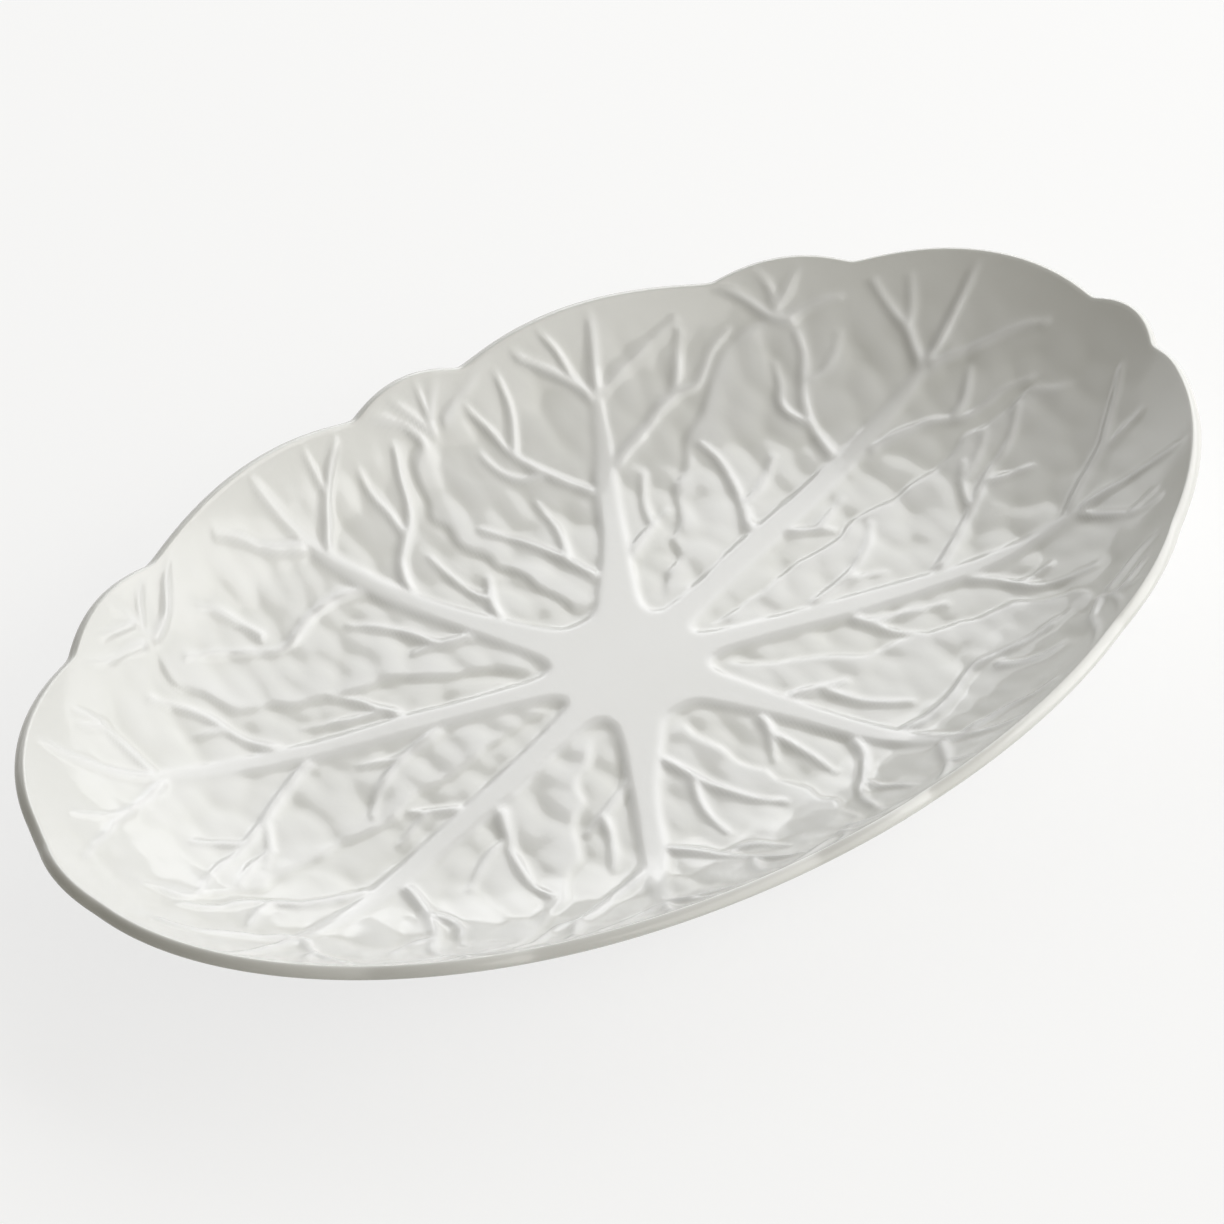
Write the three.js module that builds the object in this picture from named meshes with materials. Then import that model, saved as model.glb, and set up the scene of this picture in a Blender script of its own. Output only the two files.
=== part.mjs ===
// Oval serving platter pressed with a leaf relief: a clay body on a foot ring, under three fields of glaze.
// Millimetres, +Z up. The origin is on the table under the middle of the platter. +X runs along its length.
import * as THREE from "three";

// The dish
const RIM_LENGTH = 422; // mean oval of the rim, which the lobes wave about
const RIM_WIDTH = 248;
const SIDE_HEIGHT = 42; // rim above the table at the middle of a long side
const END_LIFT = 7; // how much higher the rim stands at the two ends
const WELL_LENGTH = 174; // flat floor of the well
const WELL_WIDTH = 103;
const WALL_SWEEP = 2.9; // power of the wall's rise from the well to the rim

// The clay
const FLOOR_CLAY = 4.5; // thickness under the leaf's blade in the well
const RIM_CLAY = 3.4; // thickness at the rim
const LIP_CROWN = 1.2; // how far the rounded lip stands out past its two edges

// The foot ring
const FOOT_HEIGHT = 3.6;
const FOOT_LENGTH = 232; // outside of the ring where it meets the clay
const FOOT_WIDTH = 138;
const FOOT_WALL = 8; // width of the ring where it meets the clay
const FOOT_BATTER = 1.8; // how far each side leans in on the way down

// The glaze
const GLAZE = 0.4;

// The leaf: a round boss, ribs that run out to the wide lobes of the rim, and side veins that leave the ribs
const BOSS_RADIUS = 26;
const RIB_HEIGHT = 1.7;
const LONG_RIB = 8.4; // width of a long rib's crest, measured where the ribs meet
const SHORT_RIB = 12; // and of a short rib's
const RIB_TIP = 1.6; // width that both taper to at the rim
const RIB_FLANK = 2.4; // width of the slope on each side of a crest
const RIB_DROP = 0.3; // share of its height that a rib loses on the way to its fork, where it ends
const VEIN_HEIGHT = 1.25; // a side vein where it leaves its rib
const VEIN_TAPER = 0.5; // share of that height that it loses on the way to its tip
const VEIN_FLANK = 3.6; // from a vein's crest to its foot, measured towards the rim
const LEAF_LAP = 0.55; // how much higher one leaf lies, in each pocket, where it laps over the next
const LOBE_NOTCH = 2.3; // depth of the notches between lobes, inside the mean oval
const WIDE_LOBE = 4; // how far a lobe swells out from its notches
const NARROW_LOBE = 3.4;

// One half of the leaf, which a half turn repeats. Directions are in degrees from +X. Each rib swings from
// its root's direction to its tip's, a wide lobe lies round it between two notches, and three veins leave it
// on each side: behind is the side towards +X here. A vein's root, half way and tip are shares of the way
// from the middle to the rim, and it ends in a direction of its own.
const HALF = [
  {
    crest: LONG_RIB,
    root: 17,
    tip: 15,
    notches: [4.2, 27.2],
    behind: [
      { root: 0.407, halfWay: 0.426, tip: 0.448, end: 6.1 },
      { root: 0.647, halfWay: 0.733, tip: 0.859, end: 4.1 },
      { root: 0.827, halfWay: 0.884, tip: 0.937, end: 6.6 },
    ],
    ahead: [
      { root: 0.401, halfWay: 0.53, tip: 0.663, end: 39.6 },
      { root: 0.611, halfWay: 0.707, tip: 0.882, end: 30.9 },
      { root: 0.826, halfWay: 0.898, tip: 0.958, end: 24.6 },
    ],
  },
  {
    crest: SHORT_RIB,
    root: 58.2,
    tip: 58.2,
    notches: [42.3, 79.9],
    behind: [
      { root: 0.363, halfWay: 0.417, tip: 0.482, end: 42.8 },
      { root: 0.654, halfWay: 0.775, tip: 0.904, end: 39.4 },
      { root: 0.851, halfWay: 0.898, tip: 0.942, end: 46.4 },
    ],
    ahead: [
      { root: 0.317, halfWay: 0.465, tip: 0.633, end: 91.5 },
      { root: 0.602, halfWay: 0.714, tip: 0.911, end: 81.2 },
      { root: 0.838, halfWay: 0.912, tip: 0.967, end: 70.8 },
    ],
  },
  {
    crest: SHORT_RIB,
    root: 122,
    tip: 120,
    notches: [100.1, 137.7],
    behind: [
      { root: 0.36, halfWay: 0.424, tip: 0.491, end: 101.2 },
      { root: 0.591, halfWay: 0.713, tip: 0.901, end: 96.5 },
      { root: 0.802, halfWay: 0.893, tip: 0.971, end: 104.6 },
    ],
    ahead: [
      { root: 0.371, halfWay: 0.4, tip: 0.452, end: 137.8 },
      { root: 0.673, halfWay: 0.704, tip: 0.842, end: 146.9 },
      { root: 0.835, halfWay: 0.873, tip: 0.956, end: 129.1 },
    ],
  },
  {
    crest: LONG_RIB,
    root: 163.5,
    tip: 165,
    notches: [152.8, 175.8],
    behind: [
      { root: 0.407, halfWay: 0.461, tip: 0.548, end: 151.6 },
      { root: 0.603, halfWay: 0.689, tip: 0.855, end: 154.1 },
      { root: 0.808, halfWay: 0.853, tip: 0.91, end: 158.9 },
    ],
    ahead: [
      { root: 0.333, halfWay: 0.423, tip: 0.494, end: 182.5 },
      { root: 0.552, halfWay: 0.645, tip: 0.814, end: 183 },
      { root: 0.785, halfWay: 0.866, tip: 0.943, end: 176.8 },
    ],
  },
];

// Mesh density
const VEIN_STEPS = 4; // stretches along a vein and past its tip
const ROWS_BETWEEN = 2; // rows between one vein and the next
const BACK_RINGS = 3; // rings from the rim to the foot on the back

const { degToRad: rad, radToDeg: deg, lerp, smoothstep } = THREE.MathUtils;

// A rib of the leaf with its lobe and veins, turned about the middle
function turned(rib, degrees) {
  const veins = (side) => side.map((vein) => ({ ...vein, end: vein.end + degrees }));
  return {
    crest: rib.crest,
    root: rib.root + degrees,
    tip: rib.tip + degrees,
    notches: rib.notches.map((notch) => notch + degrees),
    behind: veins(rib.behind),
    ahead: veins(rib.ahead),
  };
}

// The ribs in order round the platter, and the rib that follows each
const RIBS = [...HALF, ...HALF.map((rib) => turned(rib, 180))];
const NEXT = [...RIBS.slice(1), turned(RIBS[0], 360)];

// Radius of an oval in a direction
function ovalRadius(length, width, degrees) {
  const angle = rad(degrees);
  return 1 / Math.hypot(Math.cos(angle) / (length / 2), Math.sin(angle) / (width / 2));
}

// Every lobe of the rim in order, wide ones round the ribs and narrow ones between them
const LOBES = RIBS.flatMap(({ notches: [start, end] }, i) => [
  { start, end, rise: WIDE_LOBE },
  { start: end, end: NEXT[i].notches[0], rise: NARROW_LOBE },
]);

// Radius of the lobed rim in a direction
function rimRadius(degrees) {
  const first = LOBES[0].start;
  const wrapped = first + THREE.MathUtils.euclideanModulo(degrees - first, 360);
  const { start, end, rise } = LOBES.find((lobe) => wrapped <= lobe.end) ?? LOBES.at(-1);
  const across = (2 * (wrapped - start)) / (end - start) - 1;
  return ovalRadius(RIM_LENGTH, RIM_WIDTH, degrees) - LOBE_NOTCH + rise * (1 - across * across);
}

// Share of the wall's rise at a point: 0 on the well's floor, 1 on the mean oval of the rim
function wallShare(x, y) {
  const degrees = deg(Math.atan2(y, x));
  const well = ovalRadius(WELL_LENGTH, WELL_WIDTH, degrees);
  const rim = ovalRadius(RIM_LENGTH, RIM_WIDTH, degrees);
  return Math.max(0, (Math.hypot(x, y) - well) / (rim - well));
}

// Height of the dish without its relief
function dishHeight(x, y) {
  const floor = FOOT_HEIGHT + FLOOR_CLAY;
  const towardsEnd = (x / RIM_LENGTH) ** 2 / Math.max((x / RIM_LENGTH) ** 2 + (y / RIM_WIDTH) ** 2, 1e-9);
  const rim = SIDE_HEIGHT + END_LIFT * towardsEnd;
  return floor + (rim - floor) * wallShare(x, y) ** WALL_SWEEP;
}

// Upward normal of the dish
function dishNormal(x, y) {
  const step = 0.01;
  const slopeX = (dishHeight(x + step, y) - dishHeight(x - step, y)) / (2 * step);
  const slopeY = (dishHeight(x, y + step) - dishHeight(x, y - step)) / (2 * step);
  return new THREE.Vector3(-slopeX, -slopeY, 1).normalize();
}

// The lines of the mesh, in order round the platter. Every row crosses all of them. A pocket is the leaf
// between two ribs: it starts on the crest of the first, and its lines are places on the first rib, steps
// along the veins ahead of it, the middle of the pocket, steps along the veins behind the second rib, and
// places on that one. Place 2 is the foot of a rib's flank.
const LINES = RIBS.flatMap((rib, i) => {
  const next = NEXT[i];
  const pocket = [rib, next];
  const steps = Array.from({ length: VEIN_STEPS }, (_, k) => k + 1);
  return [
    ...[0, 1, 2].map((place) => ({ pocket, rib, place })),
    ...steps.map((step) => ({ pocket, rib, place: 2, step })),
    { pocket },
    ...steps.toReversed().map((step) => ({ pocket, rib: next, place: -2, step })),
    ...[-2, -1].map((place) => ({ pocket, rib: next, place })),
  ];
});

// A spot of the leaf is { direction, share, lift }: degrees, share of the way from the middle to the rim,
// and height of the relief. A row is a spot on each line.

// Spot on a rib. Its lines keep its width, up to a part of the pocket beside it.
function ribSpot({ pocket, rib, place }, share) {
  const crestLine = lerp(rib.root, rib.tip, share);
  const reach = rimRadius(crestLine);
  const steps = Math.abs(place);
  const crest = lerp(rib.crest, RIB_TIP, share) / 2;
  const width = steps === 2 ? crest + RIB_FLANK : crest * steps;
  const room = (pocket[1].root - pocket[0].root) / 2;
  const aside = Math.min(deg(width / (share * reach)), room * 0.42 * steps);
  const fork = Math.max(rib.behind.at(-1).root, rib.ahead.at(-1).root);
  const lift = steps === 2 ? 0 : RIB_HEIGHT * (1 - RIB_DROP * smoothstep(share, fork / 2, fork));
  return { direction: crestLine + Math.sign(place) * aside, share, lift };
}

// Height of the lap on a line: it grows towards the edge of the upper leaf, and drops to the pocket's middle
function lap({ rib, place, step }) {
  if (!rib) return -LEAF_LAP / 2;
  return step && place > 0 ? LEAF_LAP * (step / VEIN_STEPS) ** 3 : 0;
}

// Row round the boss, where the leaf between the ribs stands at a height
function bossRow(radius, height) {
  return LINES.map((line) => {
    const { pocket, rib, step } = line;
    const middle = (pocket[0].root + pocket[1].root) / 2;
    if (!rib) return { direction: middle, share: radius / rimRadius(middle), lift: height || lap(line) };
    const onRib = ribSpot(line, radius / rimRadius(rib.root));
    const direction = step ? lerp(onRib.direction, middle, (0.75 * step) / VEIN_STEPS) : onRib.direction;
    const lift = step ? height || lap(line) : Math.max(height, onRib.lift);
    return { direction, share: radius / rimRadius(direction), lift };
  });
}

// Spot on a vein's line, with the crest of the veins at a height. The last step lies past a vein's tip, half
// way to the middle of the pocket.
function veinSpot(line, index, height) {
  const { pocket, rib, place, step } = line;
  const [first, second] = [pocket[0].ahead[index], pocket[1].behind[index]];
  const middle = { direction: (first.end + second.end) / 2, share: (first.tip + second.tip) / 2 };
  if (!rib) return { ...middle, lift: lap(line) };
  if (!step) {
    const share = lerp(rib.behind[index].root, rib.ahead[index].root, (place + 2) / 4);
    const spot = ribSpot(line, share);
    return { ...spot, lift: Math.max(spot.lift, height) };
  }
  const { root, halfWay, tip, end } = place < 0 ? second : first;
  if (step === VEIN_STEPS) {
    return { direction: (end + middle.direction) / 2, share: (tip + middle.share) / 2, lift: lap(line) };
  }
  const along = step / (VEIN_STEPS - 1);
  const bow = halfWay - (root + tip) / 2;
  return {
    direction: lerp(ribSpot(line, root).direction, end, along),
    share: lerp(root, tip, along) + 4 * along * (1 - along) * bow,
    lift: height * (1 - VEIN_TAPER * along) + lap(line),
  };
}

// Row along one vein on each side of every rib: on its crest, or on the foot of its flank towards the boss
// or the rim
function veinRow(index, flank) {
  const pastFork = flank > 0 && index === HALF[0].ahead.length - 1;
  return LINES.map((line) => {
    const { direction, share, lift } = veinSpot(line, index, flank === 0 ? VEIN_HEIGHT : 0);
    const aside = (flank * VEIN_FLANK) / rimRadius(direction);
    return { direction, share: share + aside, lift: pastFork ? 0 : lift };
  });
}

// Row along the rim. The last step of the veins but one meets the notch between two lobes.
function rimRow() {
  return LINES.map(({ pocket, rib, place, step = 0 }) => {
    const narrowMiddle = (pocket[0].notches[1] + pocket[1].notches[0]) / 2;
    if (!rib) return { direction: narrowMiddle, share: 1, lift: 0 };
    const notch = rib.notches[place < 0 ? 0 : 1];
    const part = (Math.abs(place) + step) / (1 + VEIN_STEPS);
    const direction = part > 1 ? (notch + narrowMiddle) / 2 : lerp(rib.tip, notch, part);
    return { direction, share: 1, lift: 0 };
  });
}

// Rows between two rows. The feet of the veins stay down on them.
function rowsBetween(first, second, count) {
  return Array.from({ length: count }, (_, k) =>
    first.map((spot, i) => ({
      direction: lerp(spot.direction, second[i].direction, (k + 1) / (count + 1)),
      share: lerp(spot.share, second[i].share, (k + 1) / (count + 1)),
      lift: lerp(spot.lift, second[i].lift, (k + 1) / (count + 1)),
    })),
  );
}

// A ring on the leaf side or on the back is an array of { point, out }: a place on the clay and its outward
// direction.

function leafRing(row) {
  return row.map(({ direction, share, lift }) => {
    const radius = share * rimRadius(direction);
    const x = radius * Math.cos(rad(direction));
    const y = radius * Math.sin(rad(direction));
    const out = dishNormal(x, y);
    return { point: new THREE.Vector3(x, y, dishHeight(x, y)).addScaledVector(out, lift), out };
  });
}

// The same place on the back, through the clay
function throughClay(x, y) {
  const normal = dishNormal(x, y);
  const clay = lerp(FLOOR_CLAY, RIM_CLAY, Math.min(1, wallShare(x, y)));
  const point = new THREE.Vector3(x, y, dishHeight(x, y)).addScaledVector(normal, -clay);
  return { point, out: normal.negate() };
}

// Place on the back, in a direction
function onBack(direction, radius) {
  return throughClay(radius * Math.cos(rad(direction)), radius * Math.sin(rad(direction)));
}

// Ring on the back, at a share of the way from the foot's outside to the rim
function backRing(share) {
  return RIM.map(({ direction }) =>
    onBack(direction, lerp(ovalRadius(FOOT_LENGTH, FOOT_WIDTH, direction), rimRadius(direction), share)),
  );
}

// Ring on the back where a side of the foot meets the clay, set in from the foot's outside
function footRing(inset) {
  return RIM.map(({ direction }) => {
    return onBack(direction, ovalRadius(FOOT_LENGTH, FOOT_WIDTH, direction) - inset);
  });
}

// Ring round the crown of the lip, half way between its two edges
function lipRing(leafEdge, backEdge) {
  return leafEdge.map(({ point, out }, i) => {
    const across = out.clone().sub(backEdge[i].out).normalize();
    const tangent = new THREE.Vector3(0, 0, 1).cross(point).normalize();
    const crown = tangent.cross(across).normalize();
    const middle = point.clone().lerp(backEdge[i].point, 0.5).addScaledVector(crown, LIP_CROWN);
    return { point: middle, out: crown };
  });
}

// One point in the middle, as a ring of its own
function middle(height, up) {
  return [{ point: new THREE.Vector3(0, 0, height), out: new THREE.Vector3(0, 0, up) }];
}

const RIM = rimRow();
const leafEdge = leafRing(RIM);
const backEdge = backRing(1);
const footOuter = footRing(0);
const footInner = footRing(FOOT_WALL);
const lip = lipRing(leafEdge, backEdge);

// Rows from the boss to the rim: three along each vein, and others between
function leafRows() {
  const rows = [bossRow(BOSS_RADIUS, RIB_HEIGHT), bossRow(BOSS_RADIUS + RIB_FLANK, 0)];
  HALF[0].ahead.forEach((_, index) => {
    const vein = [-1, 0, 1].map((flank) => veinRow(index, flank));
    rows.push(...rowsBetween(rows.at(-1), vein[0], index === 0 ? 1 : ROWS_BETWEEN), ...vein);
  });
  return [...rows, ...rowsBetween(rows.at(-1), RIM, 1)];
}

const leafSide = [middle(FOOT_HEIGHT + FLOOR_CLAY + RIB_HEIGHT, 1), ...leafRows().map(leafRing), leafEdge];
const backSide = [
  backEdge,
  ...Array.from({ length: BACK_RINGS - 1 }, (_, i) => backRing(1 - (i + 1) / BACK_RINGS)),
  footOuter,
];
const underWell = [footInner, middle(FOOT_HEIGHT, -1)];

const onClay = ({ point }) => point;
const onGlaze = ({ point, out }) => point.clone().addScaledVector(out, GLAZE);

// Triangles between two rings, on the clay or on the glaze over it. They face out where the second ring
// follows the first on the clay's own outside, and turned they are the same triangles facing the other way.
// A ring of one spot is a pole. Four spots are split along the shorter diagonal on the clay, so that clay and
// glaze match.
function band(first, second, place, turned = false) {
  const triangles = [];
  const at = (ring, step) => ring[step % ring.length];
  for (let k = 0; k < LINES.length; k++) {
    const corners = [at(first, k), at(second, k), at(second, k + 1), at(first, k + 1)];
    const [a, b, c, d] = corners.map(place);
    const [p, q, r, s] = corners.map(onClay);
    if (first.length === 1) triangles.push([a, b, c]);
    else if (second.length === 1) triangles.push([a, b, d]);
    else if (p.distanceTo(r) <= q.distanceTo(s)) triangles.push([a, b, c], [a, c, d]);
    else triangles.push([a, b, d], [b, c, d]);
  }
  return turned ? triangles.map(([a, b, c]) => [a, c, b]) : triangles;
}

function bands(rings, place, turned = false) {
  return rings.slice(1).flatMap((ring, i) => band(rings[i], ring, place, turned));
}

function surface(triangles) {
  const geometry = new THREE.BufferGeometry().setFromPoints(triangles.flat());
  geometry.computeVertexNormals();
  return geometry;
}

// The edge of a field of glaze, from the glaze's face down to the clay
function glazeEdge(ring, turned = false) {
  const triangles = ring.flatMap((spot, k) => {
    const next = ring[(k + 1) % ring.length];
    return [
      [onGlaze(spot), onClay(spot), onClay(next)],
      [onGlaze(spot), onClay(next), onGlaze(next)],
    ];
  });
  return turned ? triangles.map(([a, b, c]) => [a, c, b]) : triangles;
}

// A field of glaze over rings of the clay: its outer face, the clay it lies on, and the edges between the two
function glazeField(rings) {
  const ends = [rings[0], rings.at(-1)].map((ring, i) => (ring.length > 1 ? glazeEdge(ring, i === 0) : []));
  return surface([...bands(rings, onGlaze), ...bands(rings, onClay, true), ...ends.flat()]);
}

function clayBody() {
  return surface(bands([...leafSide, lip, ...backSide, ...underWell], onClay));
}

// The foot ring: its top is the clay it is joined to, and its bearing face is flat on the table
function footSolid() {
  const lowered = (ring, lean) =>
    ring.map(({ point, out }) => {
      const radius = Math.hypot(point.x, point.y);
      const scale = (radius + lean) / radius;
      return { point: new THREE.Vector3(point.x * scale, point.y * scale, 0), out };
    });
  const bearing = [lowered(footOuter, -FOOT_BATTER), lowered(footInner, FOOT_BATTER)];
  return surface([
    ...band(footOuter, footInner, onClay, true),
    ...bands([footOuter, ...bearing, footInner], onClay),
  ]);
}

const bareClay = new THREE.MeshStandardMaterial({ color: 0xe6dfd2, roughness: 0.85, metalness: 0 });
const whiteGlaze = new THREE.MeshStandardMaterial({ color: 0xe9e8e4, roughness: 0.12, metalness: 0 });

function piece(name, geometry, material) {
  const mesh = new THREE.Mesh(geometry, material);
  mesh.name = name;
  return mesh;
}

const platter = new THREE.Group();
platter.add(
  piece("clay_body", clayBody(), bareClay),
  piece("foot_ring", footSolid(), bareClay),
  piece("leaf_glaze", glazeField([...leafSide, lip]), whiteGlaze),
  piece("back_glaze", glazeField([lip, ...backSide]), whiteGlaze),
  piece("foot_well_glaze", glazeField(underWell), whiteGlaze),
);

export default platter;
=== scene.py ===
"""Dresses an oval leaf-moulded serving platter and sets it on a pale floor in soft window light.

Sizes are millimetres unless a name says otherwise. +X runs along the platter, +Z is up, and the origin is on
the table under its middle.
"""

from __future__ import annotations

import logging
import math
from collections.abc import Callable, Iterable
from dataclasses import dataclass, field
from enum import Enum
from typing import Any

import bmesh
import bpy
import numpy as np
from mathutils import Matrix, Vector


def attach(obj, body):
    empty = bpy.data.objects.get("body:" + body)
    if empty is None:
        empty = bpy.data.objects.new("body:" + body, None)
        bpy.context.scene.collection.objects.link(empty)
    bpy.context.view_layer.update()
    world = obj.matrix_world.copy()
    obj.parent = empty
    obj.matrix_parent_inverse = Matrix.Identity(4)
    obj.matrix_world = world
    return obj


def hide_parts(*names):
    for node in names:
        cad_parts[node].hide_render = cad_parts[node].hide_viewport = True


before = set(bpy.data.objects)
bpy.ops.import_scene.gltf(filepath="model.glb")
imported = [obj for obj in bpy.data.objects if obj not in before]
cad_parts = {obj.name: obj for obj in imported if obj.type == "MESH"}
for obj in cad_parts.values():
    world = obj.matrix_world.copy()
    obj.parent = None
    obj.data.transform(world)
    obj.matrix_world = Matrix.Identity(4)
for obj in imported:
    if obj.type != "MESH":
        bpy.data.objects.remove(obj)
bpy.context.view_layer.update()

LOG = logging.getLogger("platter")
METRE = 0.001
# Spacing of the points along a line of the leaf
PATH_STEP = 1.5
# Least values, which keep divisions and logarithms finite
TINY = 1e-9
LEAST_WEB = 1e-30
LEAST_BLISTER = 1e-6
# Points closer than this, in a mould's coordinates, are one
MERGE = 1e-6
# Factors that scatter the blisters, for their places along and across
SCATTER_X = (12.9898, 78.233, 4375.85)
SCATTER_Y = (39.346, 11.135, 5731.42)

Array = np.ndarray
Pair = tuple[float, float]
Colour = tuple[float, float, float]
Trace = tuple[tuple[float, ...], ...]
Values = dict[str | int, Any]
Mould = Callable[[Array], tuple[Array, Array]]


def ease(low: float, high: float, value: Array | float) -> Array:
    """Gives the share, at each value, of a smooth rise from 0 at low to 1 at high."""
    share = np.clip((np.asarray(value) - low) / (high - low), 0.0, 1.0)
    return share * share * (3.0 - 2.0 * share)


def oval(length: float, width: float, angle: Array) -> Array:
    """Gives an oval's radius in each direction, in radians."""
    return 1.0 / np.hypot(np.cos(angle) / (length / 2), np.sin(angle) / (width / 2))


def scatter(column: Array, row: Array, factors: tuple[float, ...]) -> Array:
    """Gives a fixed number from 0 to 1 for each cell of a grid."""
    return np.modf(np.abs(np.sin(column * factors[0] + row * factors[1])) * factors[2])[0]


@dataclass(frozen=True)
class Lobe:
    """One lobe of the rim, between two notches.

    Attributes:
        start: Direction of its first notch, in degrees.
        end: Direction of its second notch.
        swell: How far it stands out past the notches.
        soft: How much the glaze fills the notches.
    """

    start: float
    end: float
    swell: float
    soft: float = 0.5

    def rise(self, degrees: Array) -> Array:
        """Gives how far the lobe stands out of its notches in each direction, and 0 outside it."""
        across = 2.0 * (degrees - self.start) / (self.end - self.start) - 1.0
        plain = self.swell * np.maximum(0.0, 1.0 - across * across)
        return np.hypot(plain, self.soft) - self.soft


@dataclass(frozen=True)
class Dish:
    """The platter's plain form under its relief: oval well, flared wall and lobed rim.

    The lobes of the near half, from the direction shallow_from on, stand out less than those of the far half.
    They fade towards the middle with the power lobe_fade.
    """

    rim_length: float = 422.0
    rim_width: float = 248.0
    side_height: float = 42.0
    end_lift: float = 7.0
    well_length: float = 174.0
    well_width: float = 103.0
    wall_sweep: float = 2.9
    floor_clay: float = 4.5
    rim_clay: float = 3.4
    foot_height: float = 3.6
    foot_length: float = 232.0
    foot_width: float = 138.0
    foot_wall: float = 8.0
    foot_batter: float = 1.8
    glaze: float = 0.4
    lip_crown: float = 0.9
    notch: float = 2.3
    wide_swell: float = 4.0
    narrow_swell: float = 3.4
    notches: tuple[float, ...] = (4.2, 27.2, 42.3, 79.9)
    shallow: float = 0.4
    shallow_from: float = 174.0
    shallow_blend: float = 0.04
    lobe_fade: int = 6
    slope_step: float = 0.05

    def lobes(self) -> list[Lobe]:
        """Lists the lobes round the rim, wide and narrow by turns, from just past the +X end."""
        half = [*self.notches, *(180.0 - place for place in reversed(self.notches))]
        places = [*half, *(place + 180.0 for place in half), half[0] + 360.0]
        swells = (self.wide_swell, self.narrow_swell)
        return [Lobe(places[i], places[i + 1], swells[i % 2]) for i in range(len(places) - 1)]

    def rim_radius(self, angle: Array) -> Array:
        """Measures the lobed rim.

        Args:
            angle: Directions, in radians.

        Returns:
            The rim's radius in each direction.
        """
        first = self.notches[0]
        degrees = first + np.mod(np.degrees(angle) - first, 360.0)
        swell = sum(lobe.rise(degrees) for lobe in self.lobes())
        side = np.sin(angle + math.pi - math.radians(self.shallow_from))
        deep = ease(-self.shallow_blend, self.shallow_blend, side)
        depth = self.shallow + (1.0 - self.shallow) * deep
        return oval(self.rim_length, self.rim_width, angle) + depth * (swell - self.notch)

    def wall_share(self, x: Array, y: Array) -> Array:
        """Gives the share of the wall's rise: 0 on the well's floor and 1 on the rim's mean oval."""
        angle = np.arctan2(y, x)
        well = oval(self.well_length, self.well_width, angle)
        rim = oval(self.rim_length, self.rim_width, angle)
        return np.maximum(0.0, (np.hypot(x, y) - well) / (rim - well))

    def height(self, x: Array, y: Array) -> Array:
        """Gives the height of the leaf side without its relief."""
        floor = self.foot_height + self.floor_clay
        along = (x / self.rim_length) ** 2
        across = (y / self.rim_width) ** 2
        rim = self.side_height + self.end_lift * along / np.maximum(along + across, TINY)
        return floor + (rim - floor) * self.wall_share(x, y) ** self.wall_sweep

    def normal(self, x: Array, y: Array) -> Array:
        """Gives the upward normal of the leaf side without its relief, one row for each point."""
        step = self.slope_step
        slope_x = (self.height(x + step, y) - self.height(x - step, y)) / (2 * step)
        slope_y = (self.height(x, y + step) - self.height(x, y - step)) / (2 * step)
        rows = np.stack([-slope_x, -slope_y, np.ones_like(slope_x)], axis=-1)
        return rows / np.linalg.norm(rows, axis=-1, keepdims=True)

    def clay(self, x: Array, y: Array) -> Array:
        """Gives the clay's thickness under each place."""
        share = np.minimum(1.0, self.wall_share(x, y))
        return self.floor_clay + (self.rim_clay - self.floor_clay) * share

    def plan(self, share: Array, turn: Array) -> tuple[Array, Array]:
        """Finds places in plan.

        Args:
            share: Share of the way from the middle to the lobed rim.
            turn: The oval's own angle, in radians.

        Returns:
            X and Y of each place.
        """
        angle = np.arctan2(self.rim_width * np.sin(turn), self.rim_length * np.cos(turn))
        plain = oval(self.rim_length, self.rim_width, angle)
        radius = share * plain + share**self.lobe_fade * (self.rim_radius(angle) - plain)
        return radius * np.cos(angle), radius * np.sin(angle)

    def place(self, x: Array, y: Array, lift: Array) -> Array:
        """Finds points above or below the plain leaf side, one row each, at a lift along its normal."""
        ground = np.stack([x, y, self.height(x, y)], axis=-1)
        return ground + self.normal(x, y) * np.asarray(lift)[..., None]


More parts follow.
